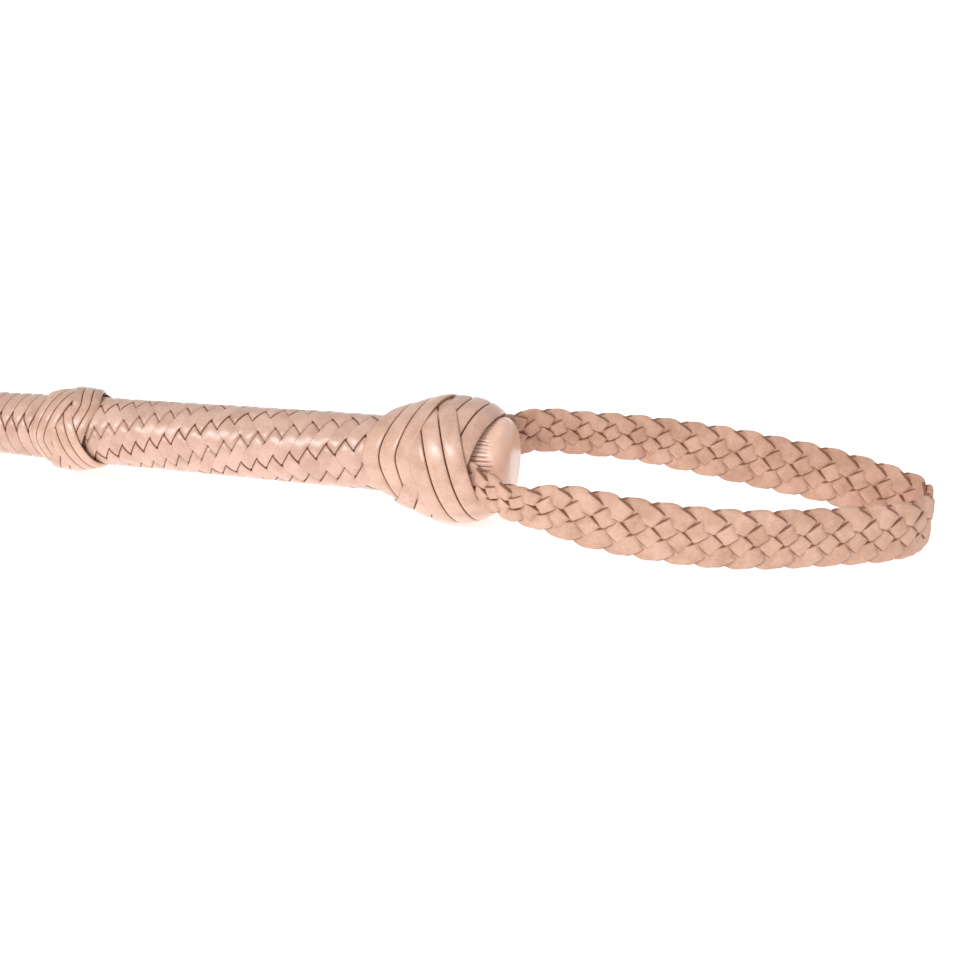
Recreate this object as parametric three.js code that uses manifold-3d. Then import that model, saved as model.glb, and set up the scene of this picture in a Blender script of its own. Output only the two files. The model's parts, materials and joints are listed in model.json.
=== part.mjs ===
// A plaited leather riding crop with a wrist loop, lying at rest on a table.
// Millimetres, +Z up, the table at Z = 0 and +X from the keeper towards the wrist loop.
// Stations are measured along the rod from the middle of the butt knot, negative towards the keeper.

import * as THREE from 'three';
import Module from 'manifold-3d';
import { mergeVertices } from 'three/addons/utils/BufferGeometryUtils.js';

const wasm = await Module();
wasm.setup();

// Driving dimensions.
const FIT = 0.3;                 // gap between pieces that touch
const SIDES = 32;                // sides of the outer round pieces
const INNER_SIDES = 20;          // sides of the round pieces inside

const BUTT_AXIS_HEIGHT = 18.7;   // the rod's axis above the table at station 0
const TIP_AXIS_HEIGHT = 7.2;     // and at the tip knot
const TIP_STATION = -560;        // middle of the tip knot
const INCLINE = Math.asin((BUTT_AXIS_HEIGHT - TIP_AXIS_HEIGHT) / -TIP_STATION);

const ROD_RADIUS = 3.6;          // inside the handle
const ROD_TIP_RADIUS = 1.5;
const ROD_TIP = -564;
const ROD_BUTT = 12;
const PLAIT_THICKNESS = 1.5;     // wall of the plaited covers

const HANDLE_START = -119;       // where the shaft plait meets the grip plait
const GRIP_END = -18;
const GRIP_OUTLINE = [[-98, 10.35], [-60, 10.8], [-40, 11.05]];
const GRIP_START_RADIUS = 10.2;
const GRIP_END_RADIUS = 11.15;

const SHAFT_START = -552;
const SHAFT_TIP_RADIUS = 3.7;
const SHAFT_BUTT_RADIUS = 10.2;
const SHAFT_TAPER_POWER = 1.6;
const SHAFT_STEPS = 7;
const FILLER_START = -470;

const RING_MIDDLE = -118.6;
const RING_HALF_LENGTH = 10.5;
const RING_RADIUS = 13.1;
const RING_BED_RADIUS = 11.2;

// Outside of the butt knot as station and radius, from the grip to the rim.
const BUTT_KNOT_OUTLINE = [
  [-20, 13.0], [-15.7, 14.3], [-9.6, 16.4], [-3.6, 18.3],
  [1, 18.7], [5.4, 18.6], [9.8, 17.7], [13.4, 15.7],
];
const BUTT_KNOT_WALL = 2.3;      // two layers of lace
const BUTT_KNOT_START = -24;
const BUTT_KNOT_END = 15;
const BLOCK_START = 6.3;         // wooden block that closes the butt

const CAP_RADIUS = 13.1;
const CAP_THICKNESS = 1.6;
const CAP_START = 7;
const CAP_SHOULDER = 14.4;       // where the cap starts to round off
const CAP_END = 18.8;
const CAP_FACE_RADIUS = 7.5;     // flat end of the butt cap
const BLOCK_END = CAP_END - CAP_THICKNESS - 2 * FIT;

const STRAP_THICKNESS = 4.2;     // the plaited strap of the wrist loop
const STRAP_HEIGHT = 15.8;
const STRAP_NECK_HEIGHT = 11;    // where it comes out of the knot
const LOOP_HINGE = 21;           // station of the line that the wrist loop swings about
const TAIL_INNER_END = -7;
const TAIL_OUTER_END = LOOP_HINGE - STRAP_NECK_HEIGHT / 2 - FIT;
const NAIL_STATION = -4.6;
const NAIL_POINT = 6;            // the nail's tip and the top of its head, from the axis
const NAIL_TOP = 15.1;
const NAIL_RADIUS = 0.7;
const NAIL_HEAD_RADIUS = 1.8;
const WHIPPING_START = -1.5;
const WHIPPING_END = 3.5;
const WHIPPING_RADIUS = 15.3;
const WHIPPING_THICKNESS = 0.5;

const LEAF_THICKNESS = 1.4;      // the keeper's two ends, bound to the tip of the rod
const LEAF_WIDTH = 7;
const TIP_WHIPPING_RADIUS = 5.5;
const TIP_WHIPPING_LENGTH = 16.5;

// Outside and inside of the tip knot as station and radius.
const TIP_KNOT_OUTLINE = [
  [-570.6, 6.0], [-568, 6.7], [-564, 7.0], [-556, 7.0], [-552, 6.4], [-549, 5.3],
];
const TIP_KNOT_BORE = [[-570.6, 5.8], [-553, 5.8], [-551, 4.9], [-549, 4.4]];

const KEEPER_HINGE = -577;       // station of the line that the keeper flexes about
const KEEPER_LENGTH = 84;
const KEEPER_WIDTH = 27;
const KEEPER_NECK_WIDTH = 12;
const KEEPER_SHOULDER = 24;      // from the hinge to the full width
const KEEPER_CORNER = 5;
const KEEPER_THICKNESS = 4.8;    // both leaves and the slit between them
const KEEPER_NECK_RADIUS = 2.2;
const KEEPER_NECK_LENGTH = 4;
const KEEPER_FOLD_RADIUS = 2.9;
const SLIT = 0.5;
const SEAM_DISTANCE = 12;        // from the end of the neck to the row of stitches
const STITCH_PITCH = 5.6;
const STITCH_COUNT = 3;
const STITCH_THREAD = 0.8;
const STITCH_HALF_LENGTH = 1.9;

// Middle line of the plaited strap inside the knot: station and distance from the axis.
const TAIL_LINE = [[-7, 12], [0, 12], [4, 12.3], [8, 13.5], [12, 15.4], [21, 19.8]];

// Middle line of the wrist loop from its hinge: out along the near leg and back along the far one.
const LOOP_LINE = [
  [-7, -16.7, 0.2], [0, -19.8, 0], [4, -21.2, -0.5], [15, -22.8, -1.9], [27, -23.9, -3.3],
  [39, -23.7, -4.5], [51, -22, -5.8], [63, -19.1, -7], [74, -15.3, -8], [85, -10.4, -9],
  [95, -5.6, -9.8], [104, -0.4, -10.5], [110.4, 5.8, -11], [113.2, 12.4, -11.2],
  [111, 18.6, -11], [104, 22.8, -10.4], [94, 25.6, -9.2], [83, 27.7, -7.7], [71, 29.1, -6.4],
  [59, 29.8, -5.1], [46, 29.9, -3.8], [33, 29.2, -2.4], [20, 27.2, -1.2], [8, 23.4, -0.3],
  [0, 19.8, 0], [-7, 16.7, 0.2],
];
const LOOP_STEPS = 54;

// Materials.
const COLORS = {
  leather: 0xe6c3b0,
  suede: 0xd9ad93,
  underlay: 0x8a5a42,
  wood: 0xc8a06c,
  glassFibre: 0xd8d6c4,
  thread: 0xe9dcc3,
  brass: 0xb8913f,
};

function material(name) {
  const metal = name === 'brass';
  return new THREE.MeshStandardMaterial({
    color: COLORS[name],
    roughness: metal ? 0.35 : 0.6,
    metalness: metal ? 1 : 0,
  });
}

function piece(name, geometry, materialName) {
  const mesh = new THREE.Mesh(geometry, material(materialName));
  mesh.name = name;
  return mesh;
}

// Booleans.
function toSolid(geometry) {
  const bare = geometry.clone();
  bare.deleteAttribute('normal');
  bare.deleteAttribute('uv');
  const merged = mergeVertices(bare, 1e-3);
  const index = merged.index.array;
  const corners = [];
  for (let i = 0; i < index.length; i += 3) {
    const [a, b, c] = [index[i], index[i + 1], index[i + 2]];
    if (a !== b && b !== c && c !== a) corners.push(a, b, c);
  }
  return new wasm.Manifold(new wasm.Mesh({
    numProp: 3,
    vertProperties: new Float32Array(merged.attributes.position.array),
    triVerts: new Uint32Array(corners),
  }));
}

function toGeometry(solid) {
  const mesh = solid.getMesh();
  const geometry = new THREE.BufferGeometry();
  geometry.setAttribute('position', new THREE.BufferAttribute(mesh.vertProperties, 3));
  geometry.setIndex(new THREE.BufferAttribute(mesh.triVerts, 1));
  geometry.computeVertexNormals();
  return geometry;
}

function cut(geometry, tools) {
  const solid = tools.reduce((rest, tool) => rest.subtract(toSolid(tool)), toSolid(geometry));
  return toGeometry(solid);
}

function common(first, second) {
  return toGeometry(toSolid(first).intersect(toSolid(second)));
}

// Round solids about the rod's axis, from outlines of [station, radius].
function lathe(outline, sides) {
  const points = outline.map(([station, radius]) => new THREE.Vector2(radius, station));
  return new THREE.LatheGeometry(points, sides).rotateZ(-Math.PI / 2);
}

function roundBar(outline, sides = INNER_SIDES) {
  const first = outline[0];
  const last = outline[outline.length - 1];
  return lathe([[first[0], 0], ...outline, [last[0], 0]], sides);
}

function sleeve(outside, inside, sides = SIDES) {
  return lathe([...outside, ...[...inside].reverse(), outside[0]], sides);
}

function offset(outline, amount) {
  return outline.map(([station, radius]) => [station, radius + amount]);
}

// A closed skin over equal rings of points, with a flat cap on both ends.
function loft(rings) {
  const count = rings[0].length;
  const positions = [];
  const index = [];
  for (const ring of rings) {
    for (const point of ring) positions.push(point.x, point.y, point.z);
  }
  for (let i = 0; i + 1 < rings.length; i += 1) {
    for (let j = 0; j < count; j += 1) {
      const a = i * count + j;
      const b = i * count + (j + 1) % count;
      index.push(a, a + count, b, b, a + count, b + count);
    }
  }
  const last = (rings.length - 1) * count;
  for (let j = 1; j + 1 < count; j += 1) {
    index.push(0, j, j + 1, last, last + j + 1, last + j);
  }
  const geometry = new THREE.BufferGeometry();
  geometry.setAttribute('position', new THREE.Float32BufferAttribute(positions, 3));
  geometry.setIndex(index);
  geometry.computeVertexNormals();
  return geometry;
}

// A flat strap standing on edge along a line of points, with chamfered edges.
function strapOnEdge(points, heightAt, thickness) {
  const up = new THREE.Vector3(0, 0, 1);
  const rings = points.map((point, i) => {
    const ahead = points[Math.min(i + 1, points.length - 1)];
    const behind = points[Math.max(i - 1, 0)];
    const along = new THREE.Vector3().subVectors(ahead, behind).setZ(0).normalize();
    const side = new THREE.Vector3().crossVectors(along, up);
    const halfHeight = heightAt(point) / 2;
    const halfThick = thickness / 2;
    const bevel = thickness / 4;
    const section = [
      [halfThick, bevel - halfHeight], [halfThick, halfHeight - bevel],
      [halfThick - bevel, halfHeight], [bevel - halfThick, halfHeight],
      [-halfThick, halfHeight - bevel], [-halfThick, bevel - halfHeight],
      [bevel - halfThick, -halfHeight], [halfThick - bevel, -halfHeight],
    ];
    return section.map(([across, height]) => point.clone()
      .addScaledVector(side, across).addScaledVector(up, height));
  });
  return loft(rings);
}

// Outlines shared by neighbouring pieces.
function rodRadius(station) {
  const share = (station - ROD_TIP) / (HANDLE_START - ROD_TIP);
  return ROD_TIP_RADIUS + (ROD_RADIUS - ROD_TIP_RADIUS) * Math.min(Math.max(share, 0), 1);
}

function shaftRadius(station) {
  const share = (station - SHAFT_START) / (HANDLE_START - SHAFT_START);
  return SHAFT_TIP_RADIUS + (SHAFT_BUTT_RADIUS - SHAFT_TIP_RADIUS) * share ** SHAFT_TAPER_POWER;
}

function stations(start, end, steps) {
  return Array.from({ length: steps + 1 }, (_, i) => start + (end - start) * i / steps);
}

const gripOutside = [
  [HANDLE_START, GRIP_START_RADIUS], ...GRIP_OUTLINE, [GRIP_END, GRIP_END_RADIUS],
];
const knotInside = [
  [BUTT_KNOT_START, GRIP_END_RADIUS + FIT],
  [GRIP_END + FIT, GRIP_END_RADIUS + FIT],
  ...offset(BUTT_KNOT_OUTLINE.slice(1), -BUTT_KNOT_WALL),
  [BUTT_KNOT_END, CAP_RADIUS + FIT],
];

// The rod and what fills out the handle and the shaft.
function coreRod() {
  return piece('core_rod', roundBar([
    [ROD_TIP, ROD_TIP_RADIUS], [HANDLE_START, ROD_RADIUS], [ROD_BUTT, ROD_RADIUS],
  ]), 'glassFibre');
}

function handleBolster() {
  const bore = ROD_RADIUS + FIT;
  const outside = offset(gripOutside, -PLAIT_THICKNESS - FIT);
  return piece('handle_bolster', sleeve(
    outside, [[HANDLE_START, bore], [GRIP_END, bore]], INNER_SIDES,
  ), 'wood');
}

function shaftFiller() {
  const places = stations(FILLER_START, HANDLE_START - FIT, SHAFT_STEPS);
  const outside = places.map((s) => [s, shaftRadius(s) - PLAIT_THICKNESS - FIT]);
  const inside = places.map((s) => [s, rodRadius(s) + FIT]);
  return piece('shaft_filler', sleeve(outside, inside, INNER_SIDES), 'underlay');
}

// The plaited covers.
function gripCover() {
  const inside = offset(gripOutside, -PLAIT_THICKNESS);
  return piece('grip_cover', sleeve(gripOutside, inside), 'leather');
}

function shaftCover() {
  const places = stations(SHAFT_START, HANDLE_START - FIT, SHAFT_STEPS);
  const outside = places.map((s) => [s, shaftRadius(s)]);
  return piece('shaft_cover', sleeve(outside, offset(outside, -PLAIT_THICKNESS)), 'leather');
}

// The ring knot over the join of the two covers.
function ringKnotFoundation() {
  const reach = RING_HALF_LENGTH - 3;
  const bore = Math.max(GRIP_START_RADIUS, SHAFT_BUTT_RADIUS) + FIT;
  return piece('ring_knot_foundation', sleeve(
    [[RING_MIDDLE - reach, RING_BED_RADIUS], [RING_MIDDLE + reach, RING_BED_RADIUS]],
    [[RING_MIDDLE - reach, bore], [RING_MIDDLE + reach, bore]], INNER_SIDES,
  ), 'underlay');
}

function ringKnot() {
  const bedReach = RING_HALF_LENGTH - 2.6;
  const bore = GRIP_START_RADIUS + 0.45;
  const bulge = [
    [-1, 11.0], [-0.8, 12.1], [-0.4, 12.95], [0, RING_RADIUS], [0.4, 12.95], [0.8, 12.1], [1, 11.0],
  ];
  const outside = bulge.map(([share, radius]) => [RING_MIDDLE + share * RING_HALF_LENGTH, radius]);
  const inside = [
    [RING_MIDDLE - RING_HALF_LENGTH, bore], [RING_MIDDLE - bedReach, bore],
    [RING_MIDDLE - bedReach, RING_BED_RADIUS + FIT], [RING_MIDDLE + bedReach, RING_BED_RADIUS + FIT],
    [RING_MIDDLE + bedReach, bore], [RING_MIDDLE + RING_HALF_LENGTH, bore],
  ];
  return piece('ring_knot', sleeve(outside, inside), 'leather');
}

// The strap's two ends inside the butt knot, and the room that other pieces leave for them.
function tailGeometry(side, room = 0) {
  const line = TAIL_LINE.map(([station, reach]) => new THREE.Vector3(station, side * reach, 0));
  const curve = new THREE.CatmullRomCurve3(line);
  const points = curve.getPoints(14);
  const strap = strapOnEdge(points, () => STRAP_NECK_HEIGHT + 2 * room, STRAP_THICKNESS + 2 * room);
  const end = room > 0 ? LOOP_HINGE : TAIL_OUTER_END;
  const span = new THREE.BoxGeometry(end - TAIL_INNER_END + room + 1, 80, 40);
  span.translate((end + TAIL_INNER_END - room - 1) / 2, 0, 0);
  return common(strap, span);
}

function nailGeometry(side, room = 0) {
  const shank = NAIL_RADIUS + room;
  const head = NAIL_HEAD_RADIUS + room;
  const headBottom = TAIL_LINE[0][1] + STRAP_THICKNESS / 2 + FIT - 2 * room;
  const headTop = NAIL_TOP + room;
  const geometry = new THREE.LatheGeometry([
    new THREE.Vector2(0, NAIL_POINT), new THREE.Vector2(shank, NAIL_POINT + 1),
    new THREE.Vector2(shank, headBottom), new THREE.Vector2(head, headBottom),
    new THREE.Vector2(head - 0.4, headTop), new THREE.Vector2(0, headTop),
  ], 12);
  if (side < 0) geometry.rotateZ(Math.PI);
  return geometry.translate(NAIL_STATION, 0, 0);
}

const tailRooms = [-1, 1].map((side) => tailGeometry(side, FIT));
const nailRooms = [-1, 1].map((side) => nailGeometry(side, FIT));

function loopTail(name, side) {
  return piece(name, cut(tailGeometry(side), nailRooms), 'suede');
}

function tailNail(name, side) {
  return piece(name, nailGeometry(side), 'brass');
}

function tailWhipping() {
  const outer = WHIPPING_RADIUS + WHIPPING_THICKNESS;
  return piece('tail_whipping', sleeve(
    [[WHIPPING_START, outer], [WHIPPING_END, outer]],
    [[WHIPPING_START, WHIPPING_RADIUS], [WHIPPING_END, WHIPPING_RADIUS]], INNER_SIDES,
  ), 'thread');
}

// The butt: foundation, block, cap and knot.
function knotFoundation() {
  const groove = WHIPPING_RADIUS - FIT;
  const bore = ROD_RADIUS + FIT;
  const end = BLOCK_START - FIT;
  const outside = [
    [GRIP_END + 2 * FIT, 11.1], [-15.7, 11.7], [-9.6, 13.8], [-3.6, 15.7],
    [WHIPPING_START - FIT, 15.7], [WHIPPING_START - FIT, groove],
    [WHIPPING_END + FIT, groove], [WHIPPING_END + FIT, 15.7], [end, 15.7],
  ];
  const body = sleeve(outside, [[GRIP_END + 2 * FIT, bore], [end, bore]], INNER_SIDES);
  return piece('knot_foundation', cut(body, [...tailRooms, ...nailRooms]), 'underlay');
}

function buttBlock() {
  const bore = ROD_RADIUS + FIT;
  const radius = CAP_RADIUS - CAP_THICKNESS - FIT;
  const outline = [
    [ROD_BUTT + FIT, 0], [ROD_BUTT + FIT, bore], [BLOCK_START, bore], [BLOCK_START, radius],
    [BLOCK_END - 2.6, radius], [BLOCK_END - 1, radius - 1], [BLOCK_END, radius - 3.5], [BLOCK_END, 0],
  ];
  return piece('butt_block', cut(lathe(outline, INNER_SIDES), tailRooms), 'wood');
}

function buttCap() {
  const bore = CAP_RADIUS - CAP_THICKNESS;
  const bottom = CAP_END - CAP_THICKNESS;
  const outside = [
    [CAP_START, CAP_RADIUS], [CAP_SHOULDER, CAP_RADIUS], [CAP_END - 2, CAP_RADIUS - 0.9],
    [CAP_END - 0.6, CAP_RADIUS - 2.8], [CAP_END, CAP_FACE_RADIUS], [CAP_END, 0],
  ];
  const inside = [
    [bottom, 0], [bottom, bore - 3], [bottom - 1.2, bore - 0.7],
    [CAP_SHOULDER, bore], [CAP_START, bore], [CAP_START, CAP_RADIUS],
  ];
  return piece('butt_cap', cut(lathe([...outside, ...inside], SIDES), tailRooms), 'leather');
}

function buttKnot() {
  const outside = [
    [BUTT_KNOT_START, 12.2], ...BUTT_KNOT_OUTLINE, [BUTT_KNOT_END, CAP_RADIUS + 1.3],
  ];
  return piece('butt_knot', cut(sleeve(outside, knotInside), tailRooms), 'leather');
}

// The wrist loop, drawn from its hinge line.
function strapHeight(point) {
  const near = point.y < 12;
  const widening = near ? 24 : 72;
  const share = THREE.MathUtils.smoothstep(point.x, near ? 2 : 6, widening);
  return STRAP_NECK_HEIGHT + (STRAP_HEIGHT - STRAP_NECK_HEIGHT) * share;
}

function wristLoop() {
  const curve = new THREE.CatmullRomCurve3(LOOP_LINE.map(([x, y, z]) => new THREE.Vector3(x, y, z)));
  const strap = strapOnEdge(curve.getSpacedPoints(LOOP_STEPS), strapHeight, STRAP_THICKNESS);
  const radius = STRAP_NECK_HEIGHT / 2;
  const knuckle = new THREE.CylinderGeometry(radius, radius, 60, 24);
  const beyond = new THREE.BoxGeometry(160, 120, 60).translate(80, 0, 0);
  const reach = toSolid(knuckle).add(toSolid(beyond));
  return piece('wrist_loop', toGeometry(toSolid(strap).intersect(reach)), 'suede');
}

// The tip: the keeper's bound ends, their whipping and the tip knot.
function keeperRoot(name, side) {
  const near = ROD_TIP_RADIUS + FIT;
  const start = SHAFT_START - FIT;
  const bend = ROD_TIP - 2;
  const end = KEEPER_HINGE + KEEPER_NECK_RADIUS + FIT;
  const outline = [
    [start, near], [start, near + LEAF_THICKNESS], [bend, near + LEAF_THICKNESS],
    [end, 0.2 + LEAF_THICKNESS], [end, 0.2], [bend, near],
  ];
  const shape = new THREE.Shape(outline.map(([x, z]) => new THREE.Vector2(x, side * z)));
  const geometry = new THREE.ExtrudeGeometry(shape, { depth: LEAF_WIDTH, bevelEnabled: false });
  geometry.translate(0, 0, -LEAF_WIDTH / 2).rotateX(Math.PI / 2);
  return piece(name, geometry, 'leather');
}

function tipWhipping() {
  const end = SHAFT_START - 1.5;
  const start = end - TIP_WHIPPING_LENGTH;
  const bore = TIP_WHIPPING_RADIUS - WHIPPING_THICKNESS;
  return piece('tip_whipping', sleeve(
    [[start, TIP_WHIPPING_RADIUS], [end, TIP_WHIPPING_RADIUS]], [[start, bore], [end, bore]],
    INNER_SIDES,
  ), 'thread');
}

function tipKnot() {
  return piece('tip_knot', sleeve(TIP_KNOT_OUTLINE, TIP_KNOT_BORE), 'leather');
}

// The keeper, a strip folded at its far end, drawn from its hinge line with the table below.
function keeperGeometry(drop) {
  const bottom = -drop;
  const top = bottom + KEEPER_THICKNESS;
  const middle = bottom + KEEPER_THICKNESS / 2;
  const foldAt = KEEPER_FOLD_RADIUS - KEEPER_LENGTH;
  const foldMiddle = bottom + KEEPER_FOLD_RADIUS;
  const side = new THREE.Shape();
  side.absarc(0, 0, KEEPER_NECK_RADIUS, Math.PI / 2, -Math.PI / 2, true);
  side.lineTo(-KEEPER_NECK_LENGTH, -KEEPER_NECK_RADIUS);
  side.lineTo(-KEEPER_SHOULDER, bottom);
  side.lineTo(foldAt, bottom);
  side.absarc(foldAt, foldMiddle, KEEPER_FOLD_RADIUS, -Math.PI / 2, -3 * Math.PI / 2, true);
  side.lineTo(foldAt + 6, top);
  side.lineTo(-KEEPER_SHOULDER, top);
  side.lineTo(-KEEPER_NECK_LENGTH, KEEPER_NECK_RADIUS);
  side.lineTo(0, KEEPER_NECK_RADIUS);
  const gap = new THREE.Path();
  gap.moveTo(-KEEPER_SHOULDER, middle - SLIT / 2);
  gap.lineTo(-KEEPER_SHOULDER, middle + SLIT / 2);
  gap.lineTo(foldAt, middle + SLIT / 2 + 0.3);
  gap.lineTo(foldAt - 0.6, foldMiddle);
  gap.lineTo(foldAt, middle - SLIT / 2);
  side.holes.push(gap);
  const slab = new THREE.ExtrudeGeometry(side, {
    depth: KEEPER_WIDTH + 4, bevelEnabled: false, curveSegments: 8,
  });
  slab.translate(0, 0, -KEEPER_WIDTH / 2 - 2).rotateX(Math.PI / 2);
  return slab;
}

function keeperOutline(drop) {
  const half = KEEPER_WIDTH / 2;
  const neck = KEEPER_NECK_WIDTH / 2;
  const corner = KEEPER_CORNER;
  const plan = new THREE.Shape();
  plan.moveTo(5, -neck);
  plan.lineTo(5, neck);
  plan.lineTo(-2, neck);
  plan.bezierCurveTo(-12, neck, -14, half, -KEEPER_SHOULDER - 4, half);
  plan.lineTo(corner - KEEPER_LENGTH, half);
  plan.absarc(corner - KEEPER_LENGTH, half - corner, corner, Math.PI / 2, Math.PI, false);
  plan.lineTo(-KEEPER_LENGTH, corner - half);
  plan.absarc(corner - KEEPER_LENGTH, corner - half, corner, Math.PI, 3 * Math.PI / 2, false);
  plan.lineTo(-KEEPER_SHOULDER - 4, -half);
  plan.bezierCurveTo(-14, -half, -12, -neck, -2, -neck);
  const block = new THREE.ExtrudeGeometry(plan, {
    depth: 4 * drop, bevelEnabled: false, curveSegments: 6,
  });
  return block.translate(0, 0, -2 * drop);
}

// The middle of each stitch, across the keeper.
function stitchPlace(index) {
  return (index - (STITCH_COUNT - 1) / 2) * STITCH_PITCH;
}

// The stitches stand square to the sloping neck of the keeper.
function stitchRing(index) {
  const halfWidth = STITCH_HALF_LENGTH + STITCH_THREAD / 2;
  const halfHeight = KEEPER_THICKNESS / 2 + FIT + STITCH_THREAD;
  const ring = new THREE.Shape([
    new THREE.Vector2(-halfWidth, -halfHeight), new THREE.Vector2(halfWidth, -halfHeight),
    new THREE.Vector2(halfWidth, halfHeight), new THREE.Vector2(-halfWidth, halfHeight),
  ]);
  const inX = halfWidth - STITCH_THREAD;
  const inY = halfHeight - STITCH_THREAD;
  ring.holes.push(new THREE.Path([
    new THREE.Vector2(-inX, -inY), new THREE.Vector2(-inX, inY),
    new THREE.Vector2(inX, inY), new THREE.Vector2(inX, -inY),
  ]));
  const geometry = new THREE.ExtrudeGeometry(ring, { depth: STITCH_THREAD, bevelEnabled: false });
  geometry.translate(0, 0, -STITCH_THREAD / 2);
  geometry.rotateY(Math.PI / 2).rotateX(Math.PI / 2);
  return geometry.translate(0, stitchPlace(index), 0);
}

function stitchRooms(place) {
  const rooms = [];
  for (let i = 0; i < STITCH_COUNT; i += 1) {
    for (const side of [-1, 1]) {
      const hole = new THREE.BoxGeometry(STITCH_THREAD + 2 * FIT, STITCH_THREAD + 2 * FIT, 14);
      hole.translate(0, stitchPlace(i) + side * STITCH_HALF_LENGTH, 0);
      rooms.push(hole.applyMatrix4(place));
    }
  }
  return rooms;
}

function keeperParts(drop) {
  const middleDrop = drop - KEEPER_THICKNESS / 2;
  const slope = Math.atan2(middleDrop, KEEPER_SHOULDER - KEEPER_NECK_LENGTH);
  const place = new THREE.Matrix4().makeRotationY(-slope);
  place.setPosition(
    -KEEPER_NECK_LENGTH - SEAM_DISTANCE * Math.cos(slope), 0, -SEAM_DISTANCE * Math.sin(slope),
  );
  const body = common(keeperGeometry(drop), keeperOutline(drop));
  const keeper = piece('keeper', cut(body, stitchRooms(place)), 'leather');
  const stitches = Array.from({ length: STITCH_COUNT }, (_, i) => (
    piece(`keeper_stitch_${i + 1}`, stitchRing(i).applyMatrix4(place), 'thread')));
  return [keeper, ...stitches];
}

// Assembly.
function onRod(station) {
  return new THREE.Vector3(
    station * Math.cos(INCLINE), 0, BUTT_AXIS_HEIGHT + station * Math.sin(INCLINE),
  );
}

function rodAssembly() {
  const rod = new THREE.Group();
  rod.add(
    coreRod(), handleBolster(), shaftFiller(), gripCover(), shaftCover(),
    ringKnotFoundation(), ringKnot(), knotFoundation(), buttBlock(), buttCap(), buttKnot(),
    loopTail('loop_tail_near', -1), loopTail('loop_tail_far', 1),
    tailNail('tail_nail_near', -1), tailNail('tail_nail_far', 1), tailWhipping(),
    keeperRoot('keeper_root_upper', 1), keeperRoot('keeper_root_lower', -1),
    tipWhipping(), tipKnot(),
  );
  rod.position.copy(onRod(0));
  rod.rotation.y = -INCLINE;
  return rod;
}

function loopAssembly() {
  const loop = new THREE.Group();
  loop.add(wristLoop());
  loop.position.copy(onRod(LOOP_HINGE));
  return loop;
}

function keeperAssembly() {
  const hinge = onRod(KEEPER_HINGE);
  const group = new THREE.Group();
  group.add(...keeperParts(hinge.z));
  group.position.copy(hinge);
  return group;
}

// The origin is under the middle of the whole crop, on the table.
function standOnTable(group) {
  group.updateMatrixWorld(true);
  const box = new THREE.Box3().setFromObject(group, true);
  const middle = box.getCenter(new THREE.Vector3());
  group.position.set(-middle.x, -middle.y, -box.min.z);
}

const crop = new THREE.Group();
crop.add(rodAssembly(), loopAssembly(), keeperAssembly());
standOnTable(crop);

export default crop;
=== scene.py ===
"""The plaited leather riding crop: camera, wrist loop, plaits, knots, keeper, materials and light.

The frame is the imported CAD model, in metres. Sizes along and around the rod are in millimetres,
with stations measured from the middle of the butt knot, negative towards the keeper.
"""

import json
import math

import bmesh
import bpy
import numpy as np
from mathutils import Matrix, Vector


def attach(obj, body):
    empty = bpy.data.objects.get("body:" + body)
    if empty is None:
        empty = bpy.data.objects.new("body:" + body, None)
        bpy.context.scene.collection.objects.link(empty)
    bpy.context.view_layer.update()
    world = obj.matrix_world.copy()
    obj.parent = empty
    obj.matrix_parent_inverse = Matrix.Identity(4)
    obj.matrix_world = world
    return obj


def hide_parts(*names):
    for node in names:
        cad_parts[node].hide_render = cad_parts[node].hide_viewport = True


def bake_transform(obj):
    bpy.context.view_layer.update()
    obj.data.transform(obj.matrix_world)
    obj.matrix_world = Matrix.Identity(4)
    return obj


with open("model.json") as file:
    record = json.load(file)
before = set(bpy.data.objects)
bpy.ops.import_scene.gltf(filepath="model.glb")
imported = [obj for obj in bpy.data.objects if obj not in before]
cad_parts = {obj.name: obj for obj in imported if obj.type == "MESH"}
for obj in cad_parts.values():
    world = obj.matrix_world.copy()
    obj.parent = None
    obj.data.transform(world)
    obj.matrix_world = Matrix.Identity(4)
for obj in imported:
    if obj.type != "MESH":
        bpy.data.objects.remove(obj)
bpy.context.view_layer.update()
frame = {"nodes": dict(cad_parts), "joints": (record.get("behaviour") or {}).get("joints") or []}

MM = 0.001
HINGES = {joint["name"]: np.array(joint["pos_m"]) for joint in frame["joints"]}
LOOP_HINGE = HINGES["wrist_loop_swing"]
KEEPER_HINGE = HINGES["keeper_flex"]
LOOP_HINGE_STATION = 21.0

ALONG = (LOOP_HINGE - KEEPER_HINGE) / np.linalg.norm(LOOP_HINGE - KEEPER_HINGE)
NEAR = np.array((0.0, -1.0, 0.0))
TOP = np.cross(NEAR, ALONG)
UP = np.array((0.0, 0.0, 1.0))
BUTT = LOOP_HINGE - ALONG * LOOP_HINGE_STATION * MM

FACING = math.radians(64)        # the line of the rod that faces the camera, turned from its top

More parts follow.
